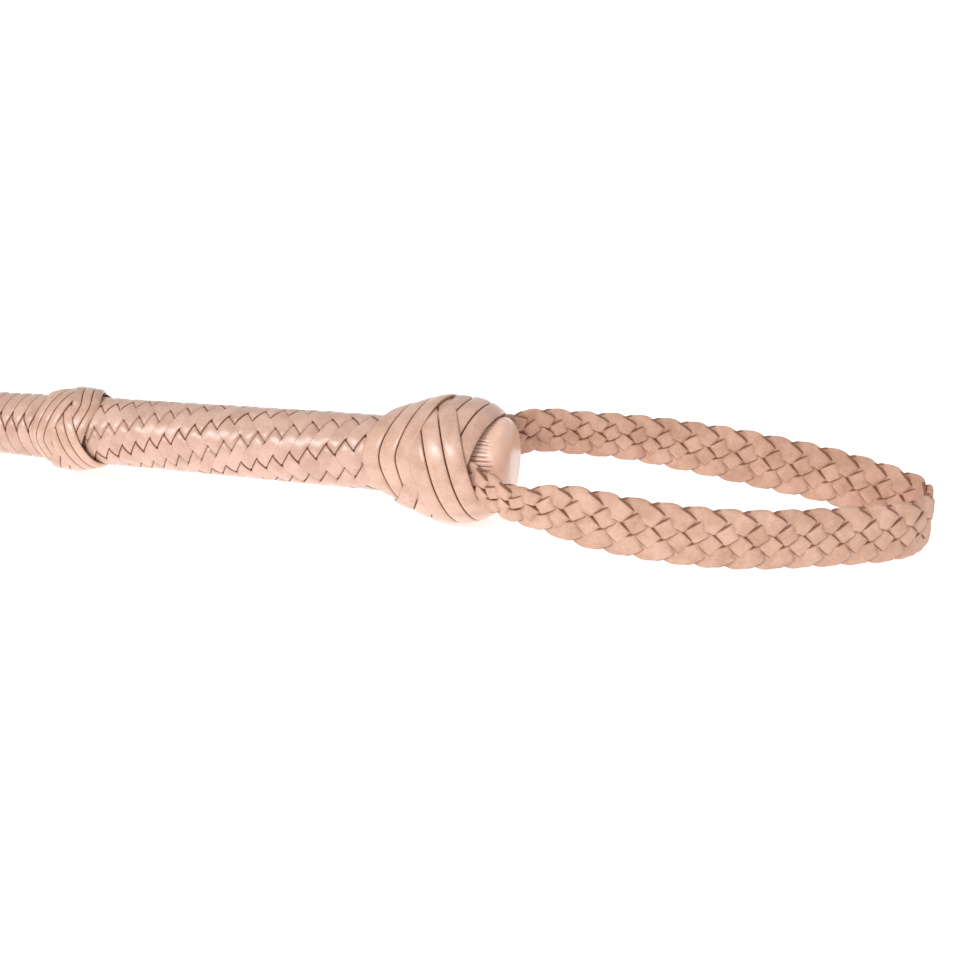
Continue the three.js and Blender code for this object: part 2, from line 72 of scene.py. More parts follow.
# Outsides of the covers as station and radius, as in the CAD model.
GRIP_OUTLINE = [(-119, 10.2), (-98, 10.35), (-60, 10.8), (-40, 11.05), (-18, 11.15)]
SHAFT_START = -552.0
SHAFT_END = -119.0
SHAFT_TIP_RADIUS = 3.7
SHAFT_BUTT_RADIUS = 10.2
SHAFT_TAPER_POWER = 1.6
RING_MIDDLE = -118.6
RING_HALF_LENGTH = 10.5
RING_RADIUS = 13.1
BUTT_KNOT_OUTLINE = [
    (-24, 12.2), (-20, 13.0), (-15.7, 14.3), (-9.6, 16.4), (-3.6, 18.3),
    (1, 18.7), (5.4, 18.6), (9.8, 17.7), (13.4, 15.7), (15, 14.4),
]
CAP_OUTLINE = [
    (7, 12.6), (9, 13.1), (13, 13.1), (14.4, 13.05), (15.6, 12.8), (16.7, 12.1),
    (17.6, 11.1), (18.2, 9.9), (18.6, 8.5), (18.8, 6.8), (18.8, 3.4),
]
TIP_KNOT_OUTLINE = [(-570.6, 6.0), (-568, 6.7), (-564, 7.0), (-556, 7.0), (-552, 6.4), (-549, 5.3)]

# Middle line of the wrist loop's strap. Inside the knot it is station and distance from the axis,
# and outside it is measured from the loop's hinge: out along the near leg, back along the far one.
TAIL_LINE = [(-7, 12), (0, 12), (4, 12.3), (8, 13.5), (12, 15.4)]
LOOP_LINE = [
    (0, -19.8, 0), (4, -21.2, -0.5), (15, -22.8, -1.9), (27, -23.9, -3.3), (39, -23.7, -4.5),
    (51, -22, -5.8), (63, -19.1, -7), (74, -15.3, -8), (85, -10.4, -9), (95, -5.6, -9.8),
    (104, -0.4, -10.5), (110.4, 5.8, -11), (113.2, 12.4, -11.2), (111, 18.6, -11),
    (104, 22.8, -10.4), (94, 25.6, -9.2), (83, 27.7, -7.7), (71, 29.1, -6.4), (59, 29.8, -5.1),
    (46, 29.9, -3.8), (33, 29.2, -2.4), (20, 27.2, -1.2), (8, 23.4, -0.3), (0, 19.8, 0),
]
STRAP_HEIGHT = 15.8
STRAP_THICKNESS = 3.3
STRAP_SCALLOP = 1.2              # how far the laces' turns stand out past the strap's mean edge

random = np.random.default_rng(7)    # gives each lace its tone and its gap


# Places.

def rod_points(station, around, radius):
    """Points at stations, angles from the top towards the near side, and distances from the axis."""
    station, around, radius = np.broadcast_arrays(station, around, radius)
    outward = np.cos(around)[..., None] * TOP + np.sin(around)[..., None] * NEAR
    return BUTT + (station[..., None] * ALONG + radius[..., None] * outward) * MM


def smooth_line(points, steps=8):
    """A Catmull-Rom curve through the points."""
    points = np.array(points, float)
    padded = np.vstack([2 * points[0] - points[1], points, 2 * points[-1] - points[-2]])
    share = (np.arange(steps) / steps)[:, None]
    curve = []
    for p0, p1, p2, p3 in zip(padded, padded[1:], padded[2:], padded[3:]):
        bend = 2 * p0 - 5 * p1 + 4 * p2 - p3
        twist = 3 * p1 - p0 - 3 * p2 + p3
        curve.append(p1 + 0.5 * ((p2 - p0) * share + bend * share**2 + twist * share**3))
    return np.vstack([*curve, points[-1:]])


def lengths_along(points):
    """The distance from the first point to each point."""
    steps = np.linalg.norm(np.diff(points, axis=0), axis=1)
    return np.concatenate([[0.0], np.cumsum(steps)])


def smooth_step(x):
    x = np.clip(x, 0.0, 1.0)
    return x * x * (3 - 2 * x)


def ramp(x, start, end):
    """Rises smoothly from 0 at the start to 1 at the end."""
    return smooth_step((x - start) / (end - start))


def shaft_radius(station):
    share = np.clip((station - SHAFT_START) / (SHAFT_END - SHAFT_START), 0, 1)
    return SHAFT_TIP_RADIUS + (SHAFT_BUTT_RADIUS - SHAFT_TIP_RADIUS) * share**SHAFT_TAPER_POWER


def outline_radius(outline):
    stations, radii = np.array(outline, float).T
    return lambda station: np.interp(station, stations, radii)


# Meshes.

def add_object(name, data):
    item = bpy.data.objects.new(name, data)
    bpy.context.scene.collection.objects.link(item)
    return item


class Skin:
    """The points, faces and point values of one mesh, gathered tube by tube.

    The point values colour the leather: edge rises to 1 at a lace's edges, under where it dips under
    another lace, and both darken it as painted shade; lace is one tone for the whole of it."""

    def __init__(self):
        self.points = []
        self.faces = []
        self.values = {}
        self.count = 0

    def add_tube(self, rings, closed=False, **values):
        """Adds a tube through rings of points, capped at both ends unless it closes on itself."""
        steps, across = rings.shape[:2]
        index = self.count + np.arange(steps * across).reshape(steps, across)
        here = index if closed else index[:-1]
        ahead = np.roll(index, -1, axis=0) if closed else index[1:]
        quads = np.stack([here, ahead, np.roll(ahead, -1, 1), np.roll(here, -1, 1)], -1)
        self.faces.extend(quads.reshape(-1, 4).tolist())
        if not closed:
            self.faces.append(index[0].tolist())
            self.faces.append(index[-1][::-1].tolist())
        self.points.append(rings.reshape(-1, 3))
        for key, value in values.items():
            filled = np.broadcast_to(value, (steps, across)).reshape(-1)
            self.values.setdefault(key, []).append(filled)
        self.count += steps * across

    def build(self, name, material):
        mesh = bpy.data.meshes.new(name)
        mesh.from_pydata(np.vstack(self.points).tolist(), [], self.faces)
        for key, parts in self.values.items():
            attribute = mesh.attributes.new(key, "FLOAT", "POINT")
            attribute.data.foreach_set("value", np.concatenate(parts).astype(np.float32))
        work = bmesh.new()
        work.from_mesh(mesh)
        bmesh.ops.recalc_face_normals(work, faces=work.faces)
        work.to_mesh(mesh)
        work.free()
        mesh.shade_smooth()
        mesh.materials.append(material)
        return add_object(name, mesh)


# Section of a leather lace, from edge to edge over the top and back underneath:
# place across as a share of the half width, height as a share of the thickness.
LACE_SECTION = np.array([
    (-1, 0.4), (-0.94, 0.74), (-0.8, 0.92), (-0.45, 0.99), (0, 1.0), (0.45, 0.99), (0.8, 0.92),
    (0.94, 0.74), (1, 0.4), (0.9, 0.0), (-0.9, 0.0),
])
ACROSS, HEIGHT = LACE_SECTION.T
BESIDE = np.where(HEIGHT > 0, np.maximum(HEIGHT, 0.93), 0.0)   # where another lace lies beside it

# The same for a lace that is seen from both sides.
BOTH_SIDES = np.array([
    (-1, 0.5), (-0.95, 0.76), (-0.84, 0.91), (-0.5, 0.99), (0, 1.0), (0.5, 0.99), (0.84, 0.91),
    (0.95, 0.76), (1, 0.5), (0.95, 0.24), (0.84, 0.09), (0.5, 0.01), (0, 0.0), (-0.5, 0.01),
    (-0.84, 0.09), (-0.95, 0.24),
])


def over_under(place, sign, dip):
    """+1 where a lace runs over and -1 where under, turning over a share dip between crossings."""
    shifted = place + 0.5
    cell = np.floor(shifted).astype(int)
    inside = shifted - cell
    level = sign(cell).astype(float)
    before = sign(cell - 1)
    after = sign(cell + 1)
    rising = before + (level - before) * smooth_step((inside + dip / 2) / dip)
    falling = level + (after - level) * smooth_step((inside - 1 + dip / 2) / dip)
    level = np.where(inside < dip / 2, rising, level)
    return np.where(inside > 1 - dip / 2, falling, level)


GAP_VARIES = (0.7, 1.5)          # the gap beside each lace, as a share of the mean one
LACE_ARCH = 0.06                 # how much higher a lace stands in the middle of each crossing


class TubePlait:
    """A herringbone plait over the rod: two families of laces that wind in opposite directions.

    Each crossing is one cell of a lattice. Steps along either family go round by half a
    turn over the number of laces in a family, and along the rod by the pitch. turn is how far the
    plait has turned round the rod at a station, and pull draws its lines together by twos. fill is a
    lace's width as a share of its cell, and dip the share of a cell in which it turns over or
    under. close is how far two laces of one family close up where both lie on top."""

    def __init__(self, start, end, laces, pitch, radius, thickness, turn, pull, fill, dip, close):
        self.laces = laces
        self.radius = radius
        self.thickness = thickness
        self.turn = turn
        self.pull = pull
        self.fill = fill
        self.dip = dip
        self.close = close
        stations = [start]
        while stations[-1] < end:
            stations.append(stations[-1] + pitch(stations[-1]))
        self.stations = np.array(stations)
        self.cells = len(stations) - 1

    def point(self, first, second, height):
        """The point at the lattice place (first, second), height above the lowest lace."""
        station = np.interp(second - first, np.arange(self.cells + 1), self.stations)
        wave = np.sin(np.pi * (first + second - 0.5)) / np.pi
        around = (first + second + self.pull * wave) * math.pi / self.laces
        around = around + self.turn(station)
        radius = self.radius(station) - 2 * self.thickness + height
        return rod_points(station, around, radius)

    def add_lace(self, skin, number, rising, steps):
        """Adds one lace with a number of steps to a cell. Its pattern is over two, under two."""
        places = np.arange(0, self.cells * steps + 1) / steps
        rise = 1 if rising else -1
        run = (number + rise * places)[:, None]

        def level_of(lace):
            def sign(cell):
                return np.where((cell + lace) % 4 < 2, rise, -rise)
            return over_under(run, sign, self.dip)

        level = level_of(number)
        beside = np.where(ACROSS[None, :] > 0, level_of(number + 1), level_of(number - 1))
        joined = self.close * np.clip(level, 0, 1) * np.clip(beside, 0, 1)
        gap = (1 - self.fill) * random.uniform(*GAP_VARIES) * (1 - joined)
        across = number + ACROSS[None, :] * (1 - gap) / 2
        profile = HEIGHT + (BESIDE - HEIGHT) * joined
        arch = 1 + LACE_ARCH * np.cos(2 * np.pi * run)
        height = self.thickness * ((level + 1) / 2 + profile * arch)
        pair = (across, run + 0 * across) if rising else (run + 0 * across, across)
        # edge and under carry painted shade: along the lace's edges, halved where two laces close up,
        # and where the lace dips under another.
        skin.add_tube(
            self.point(*pair, height), edge=np.abs(ACROSS) * (1 - 0.5 * joined),
            under=(1 - level) / 2, lace=random.uniform(),
        )

    def skin(self, steps):
        skin = Skin()
        for number in range(self.laces):
            self.add_lace(skin, number, True, steps)
            self.add_lace(skin, number, False, steps)
        return skin


def revolve(skin, outline, sides, displace=None, **values):
    """A closed round solid or sleeve about the rod from an outline of (station, radius)."""
    stations, radii = np.array(outline, float).T
    around = np.arange(sides)[:, None] * 2 * math.pi / sides
    radii = np.broadcast_to(radii, (sides, len(radii)))
    stations = np.broadcast_to(stations, radii.shape)
    if displace:
        stations, radii = displace(stations, radii, around)
    rings = rod_points(stations, around, radii)
    skin.add_tube(rings, closed=True, **values)


class KnotBed:
    """The surface that a knot is tied on: distance along the outline gives station and radius."""

    def __init__(self, outline):
        self.line = smooth_line(outline)
        self.distance = lengths_along(self.line)
        self.length = self.distance[-1]
        slope = np.gradient(self.line, self.distance, axis=0)
        self.normal = np.stack([-slope[:, 1], slope[:, 0]], 1)

    def radius(self, along):
        return np.interp(along, self.distance, self.line[:, 1])

    def point(self, along, around, height):
        values = [np.interp(along, self.distance, column) for column in (*self.line.T, *self.normal.T)]
        station, radius, normal_along, normal_out = values
        return rod_points(station + normal_along * height, around, radius + normal_out * height)


KNOT_STEEPNESS = 3.2             # how quickly a knot's lace turns from over to under


def turks_head(skin, bed, leads, bights, passes, width, spacing, thickness, phase, sharp, steps,
               hand=1):
    """Laces that run round the bed between its two edges, over and under each other by turns.

    Each lead is a band of as many laces as there are passes. sharp, up to 1, makes its turns at
    the edges tighter, steps is the number of points in one round, and hand, 1 or -1, swaps over
    and under."""
    parts = math.gcd(leads, bights)
    turns = leads // parts
    half_group = (passes - 1) / 2 * spacing + width / 2
    reach = bed.length / 2 - half_group
    for part in range(parts):
        turn = np.arange(steps * turns) / steps * 2 * math.pi
        wave = bights * turn / leads + 2 * math.pi * part / leads
        swing = np.arcsin(sharp * np.cos(wave)) / math.asin(sharp)
        middle = bed.length / 2 + reach * swing
        level = hand * np.tanh(KNOT_STEEPNESS * np.sin((leads - 1) * wave))
        level /= math.tanh(KNOT_STEEPNESS)
        around = turn + phase
        rate_along = np.gradient(np.concatenate([middle, middle[:1]]))[:-1]
        rate_around = bed.radius(middle) * (turn[1] - turn[0])
        size = np.hypot(rate_along, rate_around)
        side_along = (rate_around / size)[:, None]
        side_around = (-rate_along / size)[:, None]
        for number in range(passes):
            offset = (number - (passes - 1) / 2) * spacing + ACROSS[None, :] * width / 2
            along = middle[:, None] + side_along * offset
            turned = around[:, None] + side_around * offset / bed.radius(along)
            lift = thickness * ((level[:, None] + 1) / 2 + HEIGHT[None, :] - 2)
            # edge carries the painted shade along each lace's edges.
            skin.add_tube(
                bed.point(along, turned, lift), closed=True, edge=np.abs(ACROSS),
                under=0.0, lace=random.uniform(),
            )


# The camera stands in front of the butt and a little above it.
CAMERA_AZIMUTH = math.radians(13.08)
CAMERA_ELEVATION = math.radians(26)
CAMERA_DISTANCE = 0.3876
CAMERA_TARGET = (8.3, 0.0, -6.1)     # from the middle of the butt knot, in millimetres


def add_camera():
    data = bpy.data.cameras.new("camera")
    data.lens = 50
    data.sensor_width = 36
    data.clip_start = 0.01
    camera = add_object("camera", data)
    target = Vector(BUTT) + Vector(CAMERA_TARGET) * MM
    back = Vector((
        math.sin(CAMERA_AZIMUTH) * math.cos(CAMERA_ELEVATION),
        -math.cos(CAMERA_AZIMUTH) * math.cos(CAMERA_ELEVATION),
        math.sin(CAMERA_ELEVATION),
    ))
    camera.location = target + back * CAMERA_DISTANCE
    camera.rotation_euler = back.to_track_quat("Z", "Y").to_euler()
    bpy.context.scene.camera = camera


# Materials.

def linear(red, green, blue):
    """A colour from its 0 to 255 display values."""
    def channel(value):
        share = value / 255
        return share / 12.92 if share <= 0.04045 else ((share + 0.055) / 1.055) ** 2.4
    return (channel(red), channel(green), channel(blue), 1.0)


MIX_COLOR_INPUTS = (0, 6, 7)     # factor and the two colours among the Mix node's sockets
MIX_COLOR_OUTPUT = 2


class Shading:
    """One material's node tree, with short names for the nodes that the materials share.

    Places are in millimetres, so a noise's scale is per millimetre, and bump depths are too."""

    def __init__(self, name):
        self.material = bpy.data.materials.new(name)
        self.material.use_nodes = True
        self.nodes = self.material.node_tree.nodes
        self.links = self.material.node_tree.links
        self.shader = self.nodes["Principled BSDF"]
        coordinates = self.nodes.new("ShaderNodeTexCoord")
        mapping = self.nodes.new("ShaderNodeMapping")
        mapping.inputs["Scale"].default_value = (1 / MM, 1 / MM, 1 / MM)
        self.links.new(coordinates.outputs["Object"], mapping.inputs["Vector"])
        self.place = mapping.outputs["Vector"]

    def node(self, kind, settings=None, **inputs):
        node = self.nodes.new(kind)
        for key, value in (settings or {}).items():
            setattr(node, key, value)
        for key, value in inputs.items():
            self.feed(node.inputs[key.replace("_", " ")], value)
        return node

    def feed(self, socket, value):
        """Links a node's output to the socket, or sets a plain value on it."""
        if isinstance(value, bpy.types.NodeSocket):
            self.links.new(value, socket)
        else:
            socket.default_value = value

    def noise(self, scale, detail=3.0, roughness=0.55):
        return self.node(
            "ShaderNodeTexNoise", Vector=self.place, Scale=scale, Detail=detail, Roughness=roughness,
        ).outputs["Fac"]

    def cells(self, scale):
        return self.node(
            "ShaderNodeTexVoronoi", {"feature": "DISTANCE_TO_EDGE"}, Vector=self.place, Scale=scale,
        ).outputs["Distance"]

    def value(self, name):
        return self.node("ShaderNodeAttribute", {"attribute_name": name}).outputs["Fac"]

    def span(self, value, low, high, to_low=0.0, to_high=1.0):
        return self.node(
            "ShaderNodeMapRange", {"interpolation_type": "SMOOTHSTEP"}, Value=value,
            From_Min=low, From_Max=high, To_Min=to_low, To_Max=to_high,
        ).outputs["Result"]

    def math(self, operation, first, second):
        node = self.node("ShaderNodeMath", {"operation": operation})
        for socket, value in zip(node.inputs, (first, second)):
            self.feed(socket, value)
        return node.outputs["Value"]

    def mix(self, share, first, second, blend="MIX"):
        node = self.node("ShaderNodeMix", {"data_type": "RGBA", "blend_type": blend})
        sockets = [node.inputs[number] for number in MIX_COLOR_INPUTS]
        for socket, value in zip(sockets, (share, first, second)):
            self.feed(socket, value)
        return node.outputs[MIX_COLOR_OUTPUT]

    def bump(self, height, depth, normal=None):
        node = self.node("ShaderNodeBump", Height=height, Strength=1.0, Distance=depth * MM)
        if normal is not None:
            self.links.new(normal, node.inputs["Normal"])
        return node.outputs["Normal"]

    def finish(self, color, roughness, normal=None, shine=None, **fixed):
        self.links.new(color, self.shader.inputs["Base Color"])
        self.links.new(roughness, self.shader.inputs["Roughness"])
        if normal is not None:
            self.links.new(normal, self.shader.inputs["Normal"])
        if shine is not None:
            self.links.new(shine, self.shader.inputs["Coat Normal"])
        for key, value in fixed.items():
            self.shader.inputs[key.replace("_", " ")].default_value = value
        return self.material


def laced_leather(name, pale, deep, shade_brown, gloss, edge_start, edge_end=1.0, nap=0.0, wax=0.0):
    """Vegetable tanned lace: mottled, with painted shade along its edges and where it dips under
    another.

    gloss is its mean roughness, nap the depth of its rough face, and wax the weight of its coat."""
    shade = Shading(name)
    mottle = shade.span(shade.noise(0.19, 3.0, 0.55), 0.36, 0.66)
    fine = shade.span(shade.noise(1.6, 4.0, 0.7), 0.3, 0.7)
    lace = shade.value("lace")
    tone = shade.math("ADD", shade.math("MULTIPLY", mottle, 0.4), shade.math("MULTIPLY", lace, 0.3))
    tone = shade.math("ADD", tone, shade.math("MULTIPLY", fine, 0.3))
    color = shade.mix(tone, pale, deep)
    # Painted shade where a lace dips under another one.
    under = shade.span(shade.value("under"), 0.15, 0.95, 0.0, 0.75)
    color = shade.mix(under, color, shade_brown)
    # Painted shade along each lace's edges, for the gaps between laces.
    edge = shade.math("ADD", shade.value("edge"), shade.math("MULTIPLY", shade.noise(0.9), 0.08))
    painted_gap_shade = shade.span(edge, edge_start, edge_end, 0.0, 0.85)
    color = shade.mix(painted_gap_shade, color, shade_brown)
    rough = shade.span(shade.noise(0.8, 4.0, 0.65), 0.25, 0.75, gloss - 0.07, gloss + 0.13)
    normal = shade.bump(shade.cells(2.6), 0.05)
    normal = shade.bump(shade.noise(1.0, 5.0, 0.7), 0.1, normal)
    normal = shade.bump(shade.noise(4.5, 4.0, 0.7), 0.03 + nap, normal)
    shine = shade.bump(shade.noise(2.2, 4.0, 0.6), 0.055)
    return shade.finish(
        color, rough, normal, shine, Coat_Weight=wax, Coat_Roughness=0.26, Coat_IOR=1.5,
    )


def smooth_leather(name, pale, deep, shade_brown, gloss):
    """Leather drawn tight and polished, with soft mottling, darker where the edge value is high:
    painted shade in the cap's creases, and darker edges on the keeper strip.
    """
    shade = Shading(name)
    mottle = shade.span(shade.noise(0.12, 4.0, 0.6), 0.3, 0.7)
    color = shade.mix(mottle, pale, deep)
    crease = shade.span(shade.value("edge"), 0.25, 1.0, 0.0, 0.85)
    color = shade.mix(crease, color, shade_brown)
    rough = shade.span(shade.noise(0.5, 4.0, 0.6), 0.25, 0.75, gloss - 0.06, gloss + 0.1)
    normal = shade.bump(shade.cells(2.2), 0.03)
    normal = shade.bump(shade.noise(0.8, 4.0, 0.6), 0.08, normal)
    return shade.finish(
        color, rough, normal, Coat_Weight=0.5, Coat_Roughness=0.2, Coat_IOR=1.5,
    )


def speckled(name, pale, deep, scale, gloss, depth, **fixed):
    """A plain body with a fine mottled surface: wood, glass fibre, felted underlay or metal."""
    shade = Shading(name)
    mottle = shade.span(shade.noise(scale, 5.0, 0.65), 0.3, 0.7)
    color = shade.mix(mottle, pale, deep)
    rough = shade.span(shade.noise(2 * scale, 3.0, 0.6), 0.2, 0.8, gloss - 0.08, gloss + 0.08)
    normal = shade.bump(shade.noise(3 * scale, 5.0, 0.7), depth)
    return shade.finish(color, rough, normal, **fixed)


WAVES_PER_PI = 10                # bands of a wave texture of scale 1 over a length of pi


def wound_thread(name, pale, deep, pitch):
    """Waxed thread laid turn beside turn across the rod, with the pitch between its turns."""
    shade = Shading(name)
    turns = shade.node(
        "ShaderNodeTexWave", {"bands_direction": "X"}, Vector=shade.place,
        Scale=math.pi / WAVES_PER_PI / pitch, Distortion=0.4, Detail=2.0,
    ).outputs["Fac"]
    twist = shade.noise(3.0, 4.0, 0.7)
    # Darker in the low places of the bands: painted shade in the grooves between the turns.
    color = shade.mix(shade.span(turns, 0.05, 0.6), deep, pale)
    color = shade.mix(shade.span(twist, 0.3, 0.7, 0.0, 0.4), color, deep)
    rough = shade.span(twist, 0.2, 0.8, 0.45, 0.65)
    normal = shade.bump(turns, 0.2)
    normal = shade.bump(twist, 0.05, normal)
    return shade.finish(color, rough, normal)


# Painted shade: the brown that the leather is darkened to along lace edges, where a lace dips under
# another, in the cap's creases and at the keeper strip's edges.
PAINTED_SHADE_BROWN = linear(126, 78, 52)
PLAIT_LEATHER = laced_leather(
    "plaited_leather", linear(213, 173, 154), linear(176, 134, 113), PAINTED_SHADE_BROWN,
    gloss=0.4, edge_start=0.9, wax=1.0,
)
KNOT_LEATHER = laced_leather(
    "knot_leather", linear(214, 173, 152), linear(178, 134, 110), PAINTED_SHADE_BROWN,
    gloss=0.4, edge_start=0.93, wax=1.0,
)
STRAP_LEATHER = laced_leather(
    "strap_leather", linear(222, 181, 160), linear(183, 139, 115), PAINTED_SHADE_BROWN,
    gloss=0.6, edge_start=0.84, edge_end=0.97, nap=0.16,
)
CAP_LEATHER = smooth_leather(
    "smooth_leather", linear(236, 196, 174), linear(222, 178, 155), PAINTED_SHADE_BROWN, gloss=0.34,
)
# Dark underlay: on the linings its dark colour is painted shade in the gaps between laces; it also
# colours the hidden filler and knot foundations.
UNDERLAY_AND_GAP_SHADE = speckled("underlay_leather", linear(92, 50, 33), linear(66, 34, 22), 0.6, 0.8, 0.1)
WOOD = speckled("wood", linear(196, 154, 100), linear(160, 116, 70), 0.3, 0.6, 0.08)
GLASS_FIBRE = speckled("glass_fibre", linear(216, 214, 196), linear(190, 188, 168), 0.8, 0.3, 0.02)
BRASS = speckled(
    "brass", linear(200, 160, 80), linear(170, 128, 58), 0.7, 0.3, 0.02, Metallic=1.0,
)
THREAD = wound_thread("waxed_thread", linear(236, 222, 190), linear(178, 156, 116), 0.8)

CAD_MATERIALS = {
    "core_rod": GLASS_FIBRE,
    "handle_bolster": WOOD,
    "shaft_filler": UNDERLAY_AND_GAP_SHADE,
    "ring_knot_foundation": UNDERLAY_AND_GAP_SHADE,
    "knot_foundation": UNDERLAY_AND_GAP_SHADE,
    "butt_block": WOOD,
    "tail_nail_near": BRASS,
    "tail_nail_far": BRASS,
    "tail_whipping": THREAD,
    "tip_whipping": THREAD,
    "keeper_stitch_1": THREAD,
    "keeper_stitch_2": THREAD,
    "keeper_stitch_3": THREAD,
}


def dress_cad_nodes():
    for name, material in CAD_MATERIALS.items():
        mesh = frame["nodes"][name].data
        mesh.materials.clear()
        mesh.materials.append(material)


# The wrist loop. Its legs change between two places, given as distances beyond the loop's hinge.

LEG_BORDER = 12.0                # how far behind the rod's axis the far leg begins
NEAR_LEG_WIDENS = (2, 24)
FAR_LEG_WIDENS = (6, 72)
NEAR_NECK_HEIGHT = 11.0
FAR_NECK_HEIGHT = 12.0
ROOT_LENGTH = 9.0                # how far out the legs have the shape of their roots
NEAR_ROOT_NARROWS = 2.0
NEAR_ROOT_RISE = -2.4
FAR_ROOT_RISE = 1.5
STRAP_LIFTS = (50, 100)          # the strap's outer half stands higher by the scallop
FAR_LEG_LIFT = 0.4               # share of that lift that the far leg has from the knot on


class Strap:
    """The flat strap on edge: distance along its middle line, height across, and depth outwards."""

    def __init__(self):
        tails = [
            [rod_points(station, side * math.pi / 2, reach) for station, reach in TAIL_LINE]
            for side in (1, -1)
        ]
        loop = [LOOP_HINGE + np.array(point) * MM for point in LOOP_LINE]
        self.line = smooth_line([*tails[0], *loop, *tails[1][::-1]], 10)
        self.distance = lengths_along(self.line) / MM
        self.length = self.distance[-1]
        ahead = np.gradient(self.line, self.distance, axis=0)
        ahead /= np.linalg.norm(ahead, axis=1)[:, None]
        self.outward = np.cross(ahead, UP)
        self.outward /= np.linalg.norm(self.outward, axis=1)[:, None]
        self.upward = np.cross(self.outward, ahead)
        self.shape_legs()

    def shape_legs(self):
        """Narrows both legs towards the knot, where the near one sits lower than the far one."""
        near = self.line[:, 1] < LOOP_HINGE[1] + LEG_BORDER * MM
        beyond = (self.line[:, 0] - LOOP_HINGE[0]) / MM
        root = np.exp(-((beyond / ROOT_LENGTH) ** 2))
        widening = np.where(near, ramp(beyond, *NEAR_LEG_WIDENS), ramp(beyond, *FAR_LEG_WIDENS))
        neck = np.where(near, NEAR_NECK_HEIGHT, FAR_NECK_HEIGHT)
        self.height = neck + (STRAP_HEIGHT - neck) * widening + 2 * STRAP_SCALLOP
        self.height -= np.where(near, NEAR_ROOT_NARROWS, 0.0) * root
        lifted = np.maximum(ramp(beyond, *STRAP_LIFTS), np.where(near, 0.0, FAR_LEG_LIFT))
        self.rise = STRAP_SCALLOP * lifted + np.where(near, NEAR_ROOT_RISE, FAR_ROOT_RISE) * root

    def at(self, values, along):
        return np.stack([np.interp(along, self.distance, column) for column in values.T], -1)

    def point(self, along, across, depth):
        middle = self.at(self.line, along)
        upward = self.at(self.upward, along)
        outward = self.at(self.outward, along)
        across = across + np.interp(along, self.distance, self.rise)
        return middle + (across[..., None] * upward + depth[..., None] * outward) * MM


STRAP_LACES = 5
STRAP_ZIGZAG = 41.0              # length of one whole zigzag of a lace
STRAP_LACE_WIDTH = 5.3
STRAP_LACE_THICKNESS = 1.65
STRAP_TURN = 0.87                # how tightly a lace turns back, up to 1
STRAP_TURN_WIDENS = 0.35         # a lace's extra width where it turns back
STRAP_DIP = 0.45                 # share of a crossing in which a lace turns over or under
STRAP_END = 1.5                  # middle line left free at either end
STRAP_STEP = 0.5
STRAP_RIM = (0.9, 0.98)          # shares of the half height between which the rim begins
# The painted shade at a lace's edge darkens less along the strap's rim.
STRAP_RIM_PALER = 0.4            # how much less a lace's edge darkens along the rim
# over (1), under (-1) or turning back (0) at each place in a lace's zigzag
STRAP_WEAVE = np.array([0, 1, -1, 1, -1, 0, 1, -1, 1, -1])


def strap_weave(cell):
    return STRAP_WEAVE[cell % len(STRAP_WEAVE)]


def plait_strap(strap):
    skin = Skin()
    places, heights = BOTH_SIDES.T
    middle = np.arange(STRAP_END, strap.length - STRAP_END, STRAP_STEP)
    height = np.interp(middle, strap.distance, strap.height)
    share = height / (STRAP_HEIGHT + 2 * STRAP_SCALLOP)
    for number in range(STRAP_LACES):
        wave = 2 * math.pi * (middle / STRAP_ZIGZAG + number / STRAP_LACES)
        swing = np.arcsin(STRAP_TURN * np.cos(wave)) / math.asin(STRAP_TURN)
        width = STRAP_LACE_WIDTH * share * (1 + STRAP_TURN_WIDENS * np.abs(swing) ** 3)
        across = (height - width) / 2 * swing
        level = over_under(wave * STRAP_LACES / math.pi, strap_weave, STRAP_DIP)
        slope = np.gradient(across, middle)
        size = np.hypot(1, slope)
        offset = places[None, :] * width[:, None] / 2
        run = middle[:, None] - (slope / size)[:, None] * offset
        rise = across[:, None] + (1 / size)[:, None] * offset
        bulk = (heights[None, :] - 0.5) * STRAP_LACE_THICKNESS
        depth = level[:, None] * (STRAP_THICKNESS - STRAP_LACE_THICKNESS) / 2 + bulk
        rim = ramp(np.abs(rise) / (height[:, None] / 2), *STRAP_RIM)
        # Painted shade along each lace's edges, weaker along the strap's rim.
        edge = np.abs(places) * (1 - STRAP_RIM_PALER * rim)
        skin.add_tube(strap.point(run, rise, depth), edge=edge, under=0.0, lace=random.uniform())
    return skin.build("wrist_loop_plait", STRAP_LEATHER)


def add_wrist_loop():
    strap = Strap()
    piece = plait_strap(strap)
    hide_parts("wrist_loop", "loop_tail_near", "loop_tail_far")
    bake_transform(piece)


# The plaited covers, and the dark linings under them that show between their laces as painted shade.

def settle(piece, slot, *nodes):
    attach(piece, "crop")
    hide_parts(*nodes)


LINING_THICKNESS = 0.12


def shade_lining(name, outline, depth):
    """A thin dark sleeve at a depth under the outside of a plait, whose dark colour is painted shade in
    the gaps between the laces.
    """
    inner = [(station, radius - depth - LINING_THICKNESS) for station, radius in outline]
    outer = [(station, radius - depth) for station, radius in outline]
    skin = Skin()
    revolve(skin, [*outer, *inner[::-1]], sides=48, edge=0.0, under=0.0, lace=0.0)
    piece = skin.build(name, UNDERLAY_AND_GAP_SHADE)
    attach(piece, "crop")


# Length of a cell of the grip's plait at each station.
GRIP_PITCHES = [(-122, 2.25), (-80, 2.3), (-68, 2.55), (-48, 2.6), (-42, 2.8), (-15, 2.85)]
# How far round the rod the grip's plait has turned, in degrees at each station.
GRIP_TURNS = [(-121, 241.5), (-85, 173.1), (-62.5, 123.6), (-44.8, 94.8), (-30, 71.5), (-15, 47.5)]


